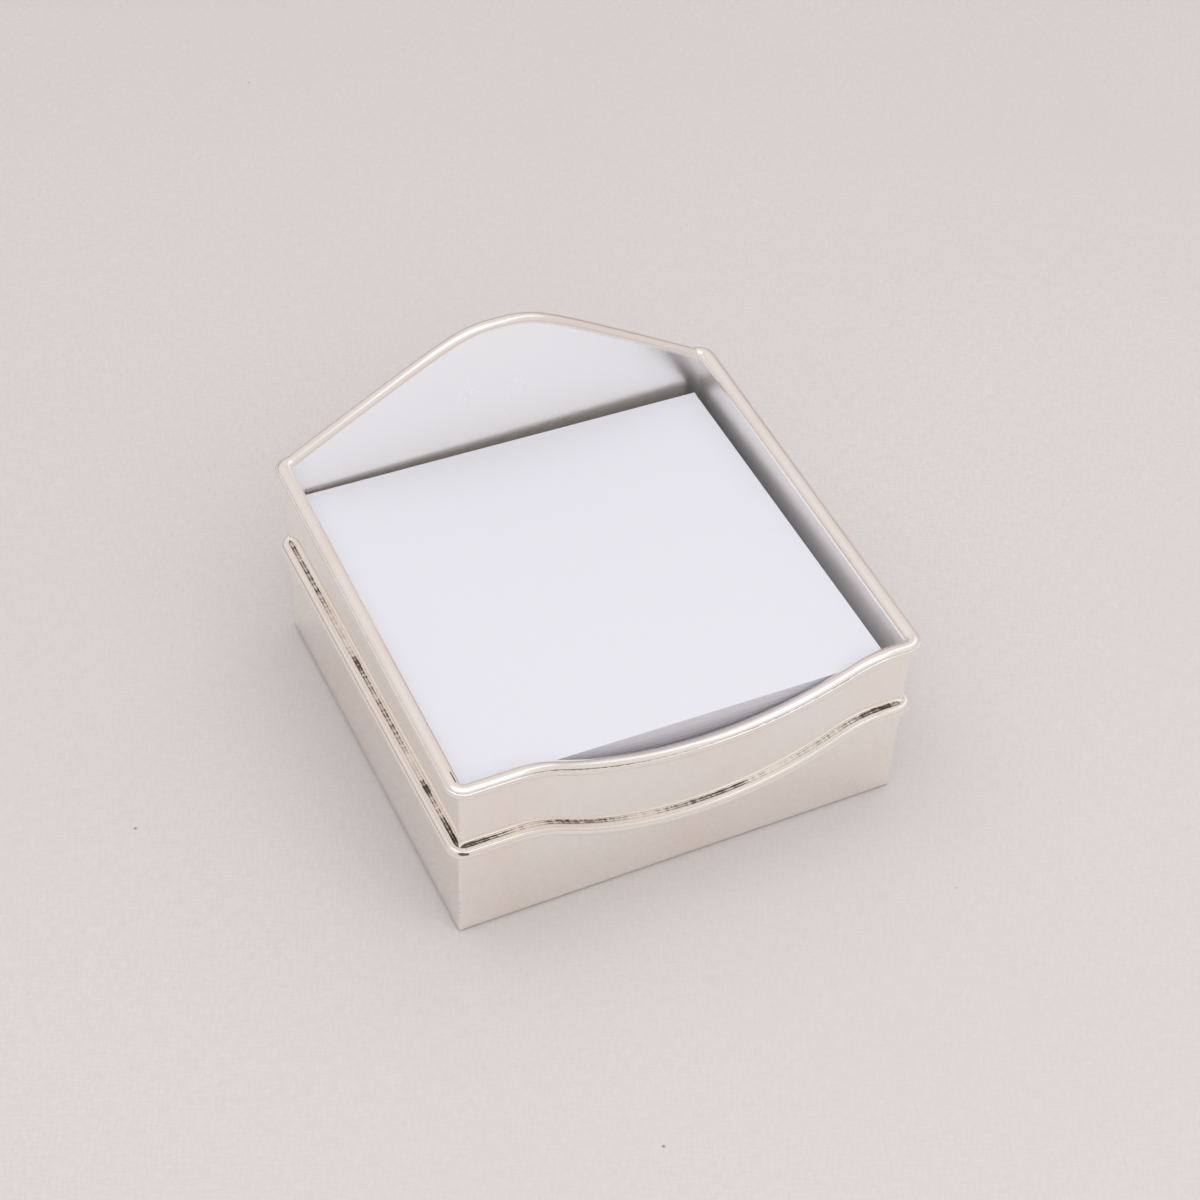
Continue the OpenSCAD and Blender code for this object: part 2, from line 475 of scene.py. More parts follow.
def silver_paint(name, rough=0.05, dulled=0.0):
    """Polished silver with soft clouds and fine scratches.

    The mesh marks where it is tarnished or carries a painted dark reflection, and where it is the
    duller inside of the tray.
    """
    paint = Paint(name)
    silver = tuple(finish().silver)
    tarnish_and_painted_reflection = tuple(finish().tarnish_and_painted_reflection)
    paint.set(Metallic=1.0)
    clouds = paint.noise(38, detail=4, rough=0.6, distortion=0.6)
    warm = tuple(c * share for c, share in zip(silver, WARM_CLOUD))
    cloud_share = paint.span(clouds, "Fac", 0.42, 0.72)
    body = paint.blend((cloud_share, "Result"), silver, warm)
    inside = paint.add("Attribute", attribute_name="inside", attribute_type="GEOMETRY")
    body = paint.blend((inside, "Fac"), body, INSIDE_TINT)
    # The film holds tarnish and, at two wire corners, a painted dark reflection.
    film = paint.add("Attribute", attribute_name="tarnish_and_painted_reflection", attribute_type="GEOMETRY")
    spots = paint.noise(1100, detail=5, rough=0.7)
    spread = paint.span(spots, "Fac", 0.3, 0.7, -0.22, 0.22)
    amount = paint.maths("ADD", (film, "Fac"), (spread, "Result"))
    held = paint.span(amount, "Value", 0.34, 0.62)
    hues = paint.noise(240, detail=2, rough=0.5)
    hue_share = paint.span(hues, "Fac", 0.42, 0.6)
    dark = paint.blend((hue_share, "Result"), tarnish_and_painted_reflection, THIN_TARNISH)
    paint.colour(paint.blend((held, "Result"), body, dark))
    rub = paint.noise(260, detail=6, rough=0.65, stretch=(1, 1, 0.25))
    rub_share = paint.span(rub, "Fac", 0.3, 0.8, rough, rough + RUBBED + dulled)
    film_rough = paint.maths("MULTIPLY", (held, "Result"), TARNISH_ROUGH)
    inner_rough = paint.maths("MULTIPLY", (inside, "Fac"), INSIDE_ROUGH)
    total = paint.maths("ADD", (rub_share, "Result"), (film_rough, "Value"))
    total = paint.maths("ADD", (total, "Value"), (inner_rough, "Value"))
    paint.link(total, "Value", paint.shader, "Roughness")
    hammer = paint.noise(70, detail=1, rough=0.4)
    paint.relief([
        (hammer, "Fac", 0.05, 0.2 * MM),
        (spots, "Fac", 0.04, 0.01 * MM),
    ])
    return paint.material


# Colour of the block's sides at their foot, where the tray shades them
BLOCK_SHADE = (0.30, 0.26, 0.29)


def paper_paint(name, layered):
    """Smooth note paper. Where it is layered, it has faint lines of sheets and painted shade that
    darkens it below.
    """
    paint = Paint(name)
    paper = tuple(finish().paper)
    paint.set(Roughness=0.62, IOR=1.45)
    fibres = paint.noise(1800, detail=4, rough=0.6)
    share = paint.span(fibres, "Fac", 0.3, 0.7)
    body = paint.blend((share, "Result"), paper, tinted(paper, 0.985))
    if layered:
        lines = paint.noise(40, detail=5, rough=0.8, stretch=(0.4, 0.4, 90))
        line_share = paint.span(lines, "Fac", 0.4, 0.62)
        body = paint.blend((line_share, "Result"), body, tinted(paper, 0.95))
        # The depth attribute holds the painted shade on the block's front and back.
        depth = paint.add("Attribute", attribute_name="depth", attribute_type="GEOMETRY")
        body = paint.blend((depth, "Fac"), body, BLOCK_SHADE)
    paint.colour(body)
    paint.relief([(fibres, "Fac", 0.12, 0.02 * MM)])
    return paint.material


def card_paint(name):
    """Grey-brown board with flecks."""
    paint = Paint(name)
    card = tuple(finish().card)
    paint.set(Roughness=0.9)
    flecks = paint.noise(1200, detail=6, rough=0.75, stretch=(1, 0.6, 1))
    share = paint.span(flecks, "Fac", 0.35, 0.68)
    paint.colour(paint.blend((share, "Result"), tinted(card, 0.86), tinted(card, 1.18)))
    paint.relief([(flecks, "Fac", 0.5, 0.05 * MM)])
    return paint.material


# Colours of the padding gum where it is thin and where it is thick
THIN_GUM = (0.80, 0.79, 0.76)
THICK_GUM = (0.87, 0.86, 0.85)


def gum_paint(name):
    """Padding gum: a clouded film with a soft gloss."""
    paint = Paint(name)
    clouds = paint.noise(420, detail=4, rough=0.6)
    share = paint.span(clouds, "Fac", 0.3, 0.7)
    paint.colour(paint.blend((share, "Result"), THIN_GUM, THICK_GUM))
    gloss = paint.span(clouds, "Fac", 0.3, 0.7, 0.28, 0.45)
    paint.link(gloss, "Result", paint.shader, "Roughness")
    paint.relief([(clouds, "Fac", 0.4, 0.05 * MM)])
    return paint.material


# Colour of the baize's nap against the light
BAIZE_SHEEN = (0.55, 0.75, 0.62, 1)


def baize_paint(name):
    """Green wool baize with a short nap."""
    paint = Paint(name)
    baize = tuple(finish().baize)
    paint.set(Roughness=0.95, Sheen_Weight=0.5, Sheen_Roughness=0.5, Sheen_Tint=BAIZE_SHEEN)
    nap = paint.noise(1400, detail=6, rough=0.8, distortion=1.2)
    share = paint.span(nap, "Fac", 0.35, 0.68)
    paint.colour(paint.blend((share, "Result"), tinted(baize, 0.6), tinted(baize, 1.7)))
    paint.relief([(nap, "Fac", 0.8, 0.2 * MM)])
    return paint.material


# Turn of the cloth's threads from the tray's sides, in radians, and the threads in a metre
WEAVE_TURN = 0.42
WEAVE_SCALE = 1900
# Share of the cloth's colour in its pinker clouds and between its threads, and colour of its specks
PINK_CLOUD = (0.985, 0.965, 0.97)
WEAVE_GAP = 0.925
SPECK = (0.22, 0.09, 0.07)
# Size of the cells that hold at most one speck each, as cells in a metre
SPECK_CELLS = 60


def cloth_paint(name):
    """Plain pale cloth with a fine weave, soft clouds and a few specks."""
    paint = Paint(name)
    cloth = tuple(finish().cloth)
    paint.set(Roughness=0.95, Sheen_Weight=0.1, Sheen_Roughness=0.5)
    clouds = paint.noise(5, detail=3, rough=0.5)
    cloud_share = paint.span(clouds, "Fac", 0.35, 0.65)
    pinker = tuple(c * share for c, share in zip(cloth, PINK_CLOUD))
    body = paint.blend((cloud_share, "Result"), cloth, pinker)
    threads = []
    for stretch in ((1, 0.2, 1), (0.2, 1, 1)):
        thread = paint.add("TexNoise")
        thread.inputs["Scale"].default_value = WEAVE_SCALE
        thread.inputs["Detail"].default_value = 1
        where = paint.mapped(stretch)
        turned = paint.add("Mapping")
        turned.inputs["Rotation"].default_value = (0, 0, WEAVE_TURN)
        paint.link(paint.place, "Object", turned, "Vector")
        paint.link(turned, "Vector", where, "Vector")
        paint.link(where, "Vector", thread, "Vector")
        threads.append(thread)
    weave = paint.maths("MULTIPLY", (threads[0], "Fac"), (threads[1], "Fac"))
    weave_share = paint.span(weave, "Value", 0.12, 0.38)
    body = paint.blend((weave_share, "Result"), tinted(cloth, WEAVE_GAP), body)
    cells = paint.add("TexVoronoi", feature="F1")
    cells.inputs["Scale"].default_value = SPECK_CELLS
    paint.link(paint.mapped((1, 1, 1)), "Vector", cells, "Vector")
    dots = paint.span(cells, "Distance", 0.012, 0.026, 1.0, 0.0)
    pick = paint.add("SeparateColor")
    paint.link(cells, "Color", pick, "Color")
    kept = paint.span(pick, "Red", 0.72, 0.74, 0.0, 0.75)
    specks = paint.maths("MULTIPLY", (dots, "Result"), (kept, "Result"))
    paint.colour(paint.blend((specks, "Value"), body, SPECK))
    paint.relief([(weave, "Value", 0.3, 0.2 * MM)])
    return paint.material


# Pieces


# Stations along a wall between its corners, the angles of those in a corner, and rows up the wall
WALL_STEPS = 96
CORNER_ANGLES = (11.25, 22.5, 33.75, 45)
WALL_ROWS = 10
# Tarnish on the round of a wall's corners, and how soon it is full there
CORNER_TARNISH = 0.31
CORNER_SPREAD = 1.6 / 0.7
# How dull the inside of each wall is, and how that of a side wall changes along it
INNER_DULL = {"front": 1.0, "back": 0.9, "left": 2.0, "right": 2.0}
DULL_CHANGE = {"left": 0.6, "right": 0.6}


def wall_stations(half):
    """Distances along a wall's outer face, closer together where its corners turn."""
    straight = half - CORNER_ROUND
    inner = [straight * (2 * i / WALL_STEPS - 1) for i in range(WALL_STEPS + 1)]
    turn = [straight + CORNER_ROUND * math.sin(math.radians(a)) for a in CORNER_ANGLES]
    return [-a for a in reversed(turn)] + inner + turn


def wall(run):
    """One sheet wall with mitred ends, up to the underside of the rim moulding."""
    name, angle, half, out, rim, _ = RUNS[run]
    away, ahead = facing(angle), facing(angle + 90)
    ends = half - CORNER_ROUND * (1 - math.sqrt(0.5))
    heights = [i / WALL_ROWS for i in range(WALL_ROWS + 1)]
    rings, film, inside = [], [], []
    for a in wall_stations(half):
        over = max(abs(a) - (half - CORNER_ROUND), 0.0)
        inset = CORNER_ROUND - math.sqrt(CORNER_ROUND ** 2 - over * over)
        share = a / ends
        dull = INNER_DULL[name] - DULL_CHANGE.get(name, 0.0) * share
        edge = CORNER_TARNISH * min(CORNER_SPREAD * over / CORNER_ROUND, 1.0)
        outline = [(inset, up, a) for up in heights]
        outline += [(WALL, 1 - up, share * (half - WALL)) for up in heights]
        ring = []
        for depth, up, along in outline:
            top = rim(along) - CAP
            point = ahead * along + away * (out - depth)
            point.z = FOOT + (top - FOOT) * up
            ring.append(point)
            film.append(edge if depth < WALL else 0.0)
            inside.append(dull if depth == WALL else 0.0)
        rings.append(ring)
    piece = skin(name + "_wall", rings)
    mark(piece, film)
    mark(piece, inside, "inside")
    return smooth(piece)


def sweep(name, wire, level, profile, film):
    """Sweeps a section round the tray, on a line that lies level below the run's height.

    profile gives its points as out, lift, and the share by which they keep the height of the
    wall's top where the run slopes. film(stop, out, lift) is the tarnish and painted dark reflection
    there.
    """
    rings, marks = [], []
    for stop in stops(wire):
        ring = []
        for out, lift, share in profile:
            point, lean = stop.at(out, lift, level)
            if share:
                drop = level * (1 - math.cos(lean)) * share
                point, lean = stop.at(out, lift - drop, level)
            ring.append(point)
            marks.append(film(stop, out, lift))
        rings.append(ring)
    piece = skin(name, rings, closed=True)
    mark(piece, marks)
    return smooth(piece)


def arc(reach, radius, start, end, steps):
    """Points of a wire's round from one angle to another, as out and lift."""
    angles = [math.radians(start + (end - start) * i / steps) for i in range(steps + 1)]
    return [(reach + radius * math.cos(a), radius * math.sin(a)) for a in angles]


def in_mm(points):
    """Points of a section that are written in millimetres, in metres."""
    return [(out * MM, lift * MM) for out, lift in points]


# Section of the rim below its round, as out and lift in millimetres: a groove, the bead under it
# and the seam at the wall
RIM_GROOVE = ((1.90, 0.725), (1.925, 0.67), (1.885, 0.62), (1.93, 0.60))
RIM_BEAD = (
    (2.03, 0.575), (2.12, 0.54), (2.20, 0.49), (2.27, 0.42), (2.325, 0.33), (2.365, 0.23),
    (2.39, 0.11), (2.395, 0.0), (2.385, -0.15), (2.36, -0.32), (2.30, -0.50), (2.21, -0.67),
    (2.08, -0.82), (1.90, -0.95), (1.68, -1.05), (1.45, -1.13),
)
RIM_SEAM = ((0.14, -1.02), (0.07, -1.16), (0.02, -1.34), (-0.01, -1.55))
# Angles of the rim's round, from its inner edge over the top to the groove
CROWN_ANGLES = range(0, 144, 4)
# Angles, from level, between which the underside of a wire shows
WIRE_UNDER = (-80, -132)
# Section of the girdle at the wall, in millimetres: the solder above it, the seam below it, and
# the tail inside the wall
GIRDLE_SOLDER = (
    (-0.01, 1.09), (0.0, 1.04), (0.03, 0.99), (0.07, 0.955), (0.13, 0.94), (0.22, 0.935), (0.34, 0.96),
)
GIRDLE_SEAM = ((0.14, -1.02), (0.07, -1.16), (0.02, -1.34), (-0.01, -1.5))
GIRDLE_TAIL = ((-0.3, -0.6), (-0.3, 0.6))


def rim_profile():
    """Section of the rim: a round over wall and wire, a groove, a bead below it, and the seam."""
    r = sizes().rim_radius
    reach = r - SOLDER_FLAT
    half = (reach + r + WALL) / 2
    middle = reach + r - half
    turns = [math.radians(a) for a in CROWN_ANGLES]
    crown = [(middle - half * math.cos(a), r * math.sin(a)) for a in turns]
    below = in_mm(RIM_GROOVE + RIM_BEAD) + arc(reach, r, *WIRE_UNDER, 8) + in_mm(RIM_SEAM)
    # The tail lies inside the wall and just under its inner edge
    below.append((-0.4 * MM, -0.4 * MM))
    inner = [(-WALL + 0.2 * MM, -0.3 * MM), (-WALL - 0.03 * MM, -0.12 * MM)]
    points = []
    for out, lift in crown:
        points.append((out, lift, min(max((reach - out) / (reach + WALL), 0.0), 1.0)))
    points += [(out, lift, 0) for out, lift in below]
    points += [(out, lift, 1) for out, lift in inner]
    return points


def girdle_profile():
    """Section of the girdle: a small solder fillet above it, the round wire, and a seam below."""
    wire = arc(GIRDLE_RADIUS - SOLDER_FLAT, GIRDLE_RADIUS, 124, WIRE_UNDER[1], 48)
    points = in_mm(GIRDLE_SOLDER) + wire + in_mm(GIRDLE_SEAM + GIRDLE_TAIL)
    return [(out, lift, 0) for out, lift in points]


def along(stop):
    """Place of a stop on its run, in millimetres from the middle, counted on through the bend."""
    if stop.kind == "run":
        return stop.place * (stop.half - CORNER_EASE) / MM
    return (stop.half + (stop.place * 2 - 1) * CORNER_EASE) / MM


def bell(value, middle, width):
    """1 at the middle, and falling smoothly to almost nothing at twice the width."""
    return math.exp(-((value - middle) / width) ** 2)


def stain(value, curve):
    """Amount and width at a place, read off a curve of place, amount and width."""
    for (start, *first), (end, *second) in zip(curve, curve[1:]):
        if start <= value <= end:
            t = (value - start) / (end - start)
            return tuple(a + (b - a) * t for a, b in zip(first, second))
    return tuple(curve[0 if value < curve[0][0] else -1][1:])


# Tarnish in the crevice above the girdle: place, amount and width, in millimetres along each run
GIRDLE_STAINS = {
    "front": (
        (-51, 0.95, 0.34), (-44, 0.85, 0.30), (-41, 0.70, 0.20), (-38, 0.56, 0.13), (-33, 0.50, 0.12),
        (-30.5, 0.56, 0.30), (-28, 0.60, 0.46), (-20, 0.58, 0.44), (-15.5, 0.54, 0.30),
        (-13, 0.44, 0.16), (-9, 0.44, 0.16), (-5, 0.52, 0.32), (0, 0.56, 0.36), (3, 0.66, 0.34),
        (10, 0.68, 0.32), (14, 0.60, 0.26), (17, 0.42, 0.16), (24, 0.40, 0.14), (28, 0.50, 0.22),
        (32, 0.52, 0.24), (35, 0.50, 0.20), (38, 0.55, 0.34), (42, 0.60, 0.46), (46.5, 0.62, 0.56),
        (49, 0.5, 0.4), (51, 0.4, 0.2),
    ),
    "left": (
        (-50, 0.5, 0.2), (-46, 0.58, 0.28), (-26, 0.58, 0.28), (-22, 0.46, 0.16), (-11, 0.46, 0.16),
        (-8, 0.66, 0.36), (-3, 0.66, 0.34), (0, 0.56, 0.26), (17, 0.56, 0.26), (20, 0.46, 0.18),
        (28, 0.46, 0.18), (30, 0.74, 0.46), (31.5, 0.70, 0.40), (34, 0.54, 0.20), (38, 0.60, 0.24),
        (41, 0.76, 0.30), (51, 0.80, 0.34),
    ),
    "right": ((-50, 0.5, 0.2), (0, 0.46, 0.2), (50, 0.44, 0.2)),
    "back": ((-50, 0.5, 0.25), (-10, 0.44, 0.2), (50, 0.52, 0.25)),
}


# Where the crevice above the girdle and the seam below a wire lie, in millimetres out and lift
CREVICE_OUT = 0.28
SEAM_LIFT = -1.08


def girdle_tarnish_and_painted_reflection(stop, out, lift):
    """Tarnish of the girdle in the crevice above it and in a faint line below, and a painted
    reflection as a dark spot on its front left corner.
    """
    if lift <= 0:
        return 0.36 * bell(lift / MM, SEAM_LIFT, 0.10) if out < 0.4 * MM else 0.0
    amount, width = stain(along(stop), GIRDLE_STAINS[stop.name])
    film = 0.66 * bell(out / MM, CREVICE_OUT, 0.07)
    if lift > 0.2 * MM:
        film = max(film, amount * bell(out / MM, CREVICE_OUT, width))
    # Painted reflection: a dark spot on the upper outside of the girdle's front left corner, standing
    # in for something dark mirrored there.
    if stop.name == "left" and stop.kind == "bend":
        reach = math.degrees(math.atan2(lift, out - GIRDLE_RADIUS))
        film = max(film, 1.15 * bell(stop.place, 0.74, 0.24) * bell(reach, 50, 17))
    return film


# Tarnish in the groove of the front rim: place, amount and width, in millimetres, then the same
# amount and width for the other three sides, and the groove's lift
GROOVE_STAINS = (
    (-51, 0.46, 0.05), (-40, 0.50, 0.05), (-37, 0.64, 0.07), (-30, 0.74, 0.08), (-16, 0.74, 0.08),
    (-10, 0.62, 0.06), (4, 0.56, 0.05), (14, 0.80, 0.05), (36, 0.80, 0.05), (44, 0.56, 0.05),
    (51, 0.50, 0.04),
)
PLAIN_GROOVE_STAIN = (0.50, 0.06)
GROOVE_LIFT = 0.635
# Where the dark slit beside the front left corner starts and ends on the left rim, in millimetres
SLIT = (43.2, 46.2)


def rim_tarnish_and_painted_reflection(stop, out, lift):
    """Tarnish of the rim in its groove and at its seam, a darker line at its inner edge, a dark slit,
    and a painted reflection as a dark spot on its front right corner.
    """
    where = along(stop)
    film = 0.0
    if lift < 0 and out < 0.4 * MM:
        film = 0.38 * bell(lift / MM, SEAM_LIFT, 0.10)
    if out > 1.8 * MM:
        front = stop.name == "front"
        amount, width = stain(where, GROOVE_STAINS) if front else PLAIN_GROOVE_STAIN
        film = max(film, amount * bell(lift / MM, GROOVE_LIFT, width))
    if stop.name == "left" and SLIT[0] < where < SLIT[1] and lift > 0:
        film = max(film, 1.1 * bell(out / MM, 0.1, 0.15))
    # A darker line along the rim's inner edge.
    if out < -1.0 * MM and lift < 0.09 * MM:
        film = max(film, 0.2)
    # Painted reflection: a dark spot on the outside of the rim's front right corner, standing in for
    # something dark mirrored there.
    if stop.name == "front" and stop.kind == "bend" and out > 0.9 * MM:
        film = max(film, 0.75 * bell(stop.place, 0.5, 0.12) * bell(lift / MM, -0.1, 0.35))
    return film


def sheet_outline(half_x, half_y, steps=6):
    """Outline of one sheet, with points along its edges."""
    corners = ((-half_x, -half_y), (half_x, -half_y), (half_x, half_y), (-half_x, half_y))
    points = []
    for (x, y), (next_x, next_y) in zip(corners, corners[1:] + corners[:1]):
        points += [(x + (next_x - x) * i / steps, y + (next_y - y) * i / steps) for i in range(steps)]
    return points


class Layer:
    """Where a flat box of the block lies: its middle, half sizes, heights and turn."""

    def __init__(self, name):
        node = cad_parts[name]
        corners = [node.matrix_world @ v.co for v in node.data.vertices]
        self.low, self.high = min(c.z for c in corners), max(c.z for c in corners)
        near_left = min(corners, key=lambda c: c.x + c.y)
        near_right = max(corners, key=lambda c: c.x - c.y)
        far_left = max(corners, key=lambda c: c.y - c.x)
        along_x, along_y = (near_right - near_left).xy, (far_left - near_left).xy
        self.half_x, self.half_y = along_x.length / 2, along_y.length / 2
        self.ahead, self.aside = along_x.normalized(), along_y.normalized()
        self.middle = (near_right.xy + far_left.xy) / 2

    def point(self, x, y, z):
        """Point at a place measured from the middle along the layer's own edges."""
        spot = self.middle + self.ahead * x + self.aside * y
        return Vector((spot.x, spot.y, z))


# How far sheets slip against each other, and how much they turn, in radians
SHEET_SLIP = 0.02 * MM
SHEET_TURN = 0.0004
# Depth and reach of the worn edge at the top of the block
WORN_DEPTH = 0.12 * MM
WORN_REACH = 1.2 * MM
# Shade on the front and back of the block, and how far below its top it is full
FRONT_SHADE = 0.42
BACK_SHADE = 0.4
SHADE_REACH = 5 * MM


def paper_stack(name, layer, layers, seed):
    """A stack of sheets whose edges don't quite line up."""
    picks = random.Random(seed)
    half_x, half_y = layer.half_x, layer.half_y
    thick = (layer.high - layer.low) / layers
    rings = []
    for i in range(layers):
        dx, dy = picks.gauss(0, SHEET_SLIP), picks.gauss(0, SHEET_SLIP)
        turn = picks.gauss(0, SHEET_TURN)
        short = abs(picks.gauss(0, SHEET_SLIP))
        near_top = max(0.0, 1 - (layers - 1 - i) * thick / WORN_REACH)
        less = short + WORN_DEPTH * near_top ** 2
        # A sheet slips to the front alone, because the gum holds it at the back
        laid = [
            (x - y * turn + dx, y + x * turn + min(dy, 0))
            for x, y in sheet_outline(half_x - less, half_y - less)
        ]
        for z in (layer.low + i * thick, layer.low + (i + 1) * thick):
            rings.append([layer.point(x, y, z) for x, y in laid])
    piece = skin(name, rings)
    mesh = piece.data
    # Painted shade: the front and back sides darken towards the foot, where the tray shades them.
    shade = mesh.attributes.new("depth", "FLOAT", "CORNER")
    values = [0.0] * len(mesh.loops)
    for face in mesh.polygons:
        full = FRONT_SHADE if face.normal.y < -0.5 else BACK_SHADE if face.normal.y > 0.5 else 0.0
        for loop in face.loop_indices:
            below = layer.high - mesh.vertices[mesh.loops[loop].vertex_index].co.z
            values[loop] = full * min(below / SHADE_REACH, 1.0)
    shade.data.foreach_set("value", values)
    return smooth(piece, 20)


# Depth of the top sheet's waves, and waves in a metre
SHEET_WAVE = 0.05 * MM
WAVE_SCALE = 28


def thin_sheet(name, layer):
    """The loose top sheet: a thin closed sheet that lies almost flat."""
    steps = 30
    rings = []
    for i in range(steps + 1):
        y = layer.half_y * (2 * i / steps - 1)
        upper, lower = [], []
        for j in range(steps + 1):
            x = layer.half_x * (2 * j / steps - 1)
            wave = noise.noise(Vector((x * WAVE_SCALE, y * WAVE_SCALE, 3.7))) * 0.5 + 0.5
            upper.append(layer.point(x, y, layer.high - SHEET_WAVE * wave))
            lower.append(layer.point(x, y, layer.low))
        rings.append(upper + list(reversed(lower)))
    return smooth(skin(name, rings), 40)


def rounded_outline(half_x, half_y, radius, steps=6):
    """Outline of a rectangle with round corners."""
    points = []
    for sx, sy, start in ((1, -1, -90), (1, 1, 0), (-1, 1, 90), (-1, -1, 180)):
        for i in range(steps + 1):
            a = math.radians(start + 90 * i / steps)
            points.append((
                sx * (half_x - radius) + radius * math.cos(a),
                sy * (half_y - radius) + radius * math.sin(a),
            ))
    return points


# Section of the baize pad, from the middle of its underside round the edge to the middle of its
# top, as millimetres in from the edge and share of its thickness
PAD_SECTION = (
    (46, 0.03), (36, 0.0), (24, 0.0), (12, 0.0), (4, 0.0), (1.2, 0.0), (0.35, 0.06), (0.05, 0.25),
    (0.0, 0.5), (0.05, 0.75), (0.35, 0.94), (1.2, 1.0), (12, 1.0), (46, 1.0),
)
PAD_CORNER = 1.5 * MM
# Height of the nap under the pad, and its tufts in a metre
NAP_HEIGHT = 0.03 * MM
NAP_SCALE = 160


def soft_pad(name, low, high):
    """The baize pad: soft rolled edges and an uneven nap."""
    half_x, half_y = (high.x - low.x) / 2, (high.y - low.y) / 2
    thick = high.z - low.z
    rings = []
    for inset, up in PAD_SECTION:
        near = inset * MM
        ring = []
        for x, y in rounded_outline(half_x - near, half_y - near, min(PAD_CORNER, half_y - near)):
            nap = noise.noise(Vector((x * NAP_SCALE, y * NAP_SCALE, up * 3))) + 1
            z = low.z + thick * up + (NAP_HEIGHT * nap if up < 0.5 else 0)
            ring.append(Vector((x, y, z)))
        rings.append(ring)
    return smooth(skin(name, rings), 60)


# Operators


class TRAY_OT_walls(bpy.types.Operator):
    """Build the four sheet walls"""

    bl_idname = "tray.walls"
    bl_label = "Walls"

    def execute(self, context):
        paint = silver_paint("silver_wall")
        for run, (name, *_) in enumerate(RUNS):
            place(wall(run), TRAY, paint, "silver_wall", name + "_panel")
        return {"FINISHED"}


class TRAY_OT_rim(bpy.types.Operator):
    """Build the wire round the rim, with its solder filed flush"""

    bl_idname = "tray.rim"
    bl_label = "Rim wire"

    def execute(self, context):
        piece = sweep("rim_wire", RIM, sizes().rim_radius, rim_profile(), rim_tarnish_and_painted_reflection)
        place(piece, TRAY, silver_paint("silver_rim", rough=0.12), "silver_wire",
              "rim_wire_front", "rim_wire_right", "rim_wire_back", "rim_wire_left")
        return {"FINISHED"}


class TRAY_OT_girdle(bpy.types.Operator):
    """Build the girdle wire round the outside"""

    bl_idname = "tray.girdle"
    bl_label = "Girdle wire"

    def execute(self, context):
        piece = sweep("girdle_wire", GIRDLE, 0.0, girdle_profile(), girdle_tarnish_and_painted_reflection)
        place(piece, TRAY, silver_paint("silver_girdle", rough=0.11), "silver_wire",
              "girdle_wire_front", "girdle_wire_right", "girdle_wire_back", "girdle_wire_left")
        return {"FINISHED"}


class TRAY_OT_underside(bpy.types.Operator):
    """Finish the floor plate and build the baize pad under it"""

    bl_idname = "tray.underside"
    bl_label = "Floor and baize"

    def execute(self, context):
        refinish("base_plate", silver_paint("silver_floor", rough=0.12, dulled=0.12))
        low, high = node_box("baize_pad")
        place(soft_pad("baize", low, high), TRAY, baize_paint("baize"), "baize", "baize_pad")
        return {"FINISHED"}


class TRAY_OT_block(bpy.types.Operator):
    """Build the block of sheets, its card and its gum"""

    bl_idname = "tray.block"
    bl_label = "Note block"

    def execute(self, context):
        stack = paper_stack("sheet_stack", Layer("note_block"), sizes().sheets, seed=11)
        place(stack, PAD, paper_paint("paper_edges", True), "paper", "note_block")
        refinish("backing_card", card_paint("card"))
        refinish("gum_strip", gum_paint("gum"))
        return {"FINISHED"}


class TRAY_OT_sheet(bpy.types.Operator):
    """Build the loose sheet on top"""

    bl_idname = "tray.sheet"
    bl_label = "Top sheet"

    def execute(self, context):
        sheet = thin_sheet("loose_top", Layer("top_sheet"))
        place(sheet, LOOSE, paper_paint("paper_top", False), "top_paper", "top_sheet")
        return {"FINISHED"}


# The camera as fitted to the photograph: angles in degrees, distance from the point that it aims
# at, focal length and image width in pixels, and sensor width in millimetres
CAMERA = {
    "azimuth": -27.262, "elevation": 44.389, "roll": 2.990, "distance": 574.363 * MM,
    "aim": (16.862 * MM, 27.568 * MM, 0.0), "focal": 2516.31, "image": 1200, "sensor": 36.0,
}


def camera_at_photo():
    """Camera at the photograph's angle. Azimuth 0 looks along +Y."""
    a, e, r = (math.radians(CAMERA[k]) for k in ("azimuth", "elevation", "roll"))
    back = Vector((math.sin(a) * math.cos(e), -math.cos(a) * math.cos(e), math.sin(e)))
    right = Vector((math.cos(a), math.sin(a), 0))
    up = back.cross(right)
    turned_right = right * math.cos(r) + up * math.sin(r)
    turned_up = up * math.cos(r) - right * math.sin(r)
    data = bpy.data.cameras.new("camera")
    data.sensor_width = CAMERA["sensor"]
    data.lens = CAMERA["sensor"] * CAMERA["focal"] / CAMERA["image"]
    data.clip_start, data.clip_end = 0.01, 20
    camera = added("camera", data)
    turn = Matrix((turned_right, turned_up, back)).transposed().to_4x4()
    stand = Vector(CAMERA["aim"]) + back * CAMERA["distance"]
    camera.matrix_world = Matrix.Translation(stand) @ turn
    bpy.context.scene.camera = camera


# Half the cloth's size, where it starts to rise behind the tray, its bend there and its height
CLOTH_HALF = 2.0
CLOTH_RISE = 0.9
CLOTH_BEND = 0.35
CLOTH_TOP = 0.6


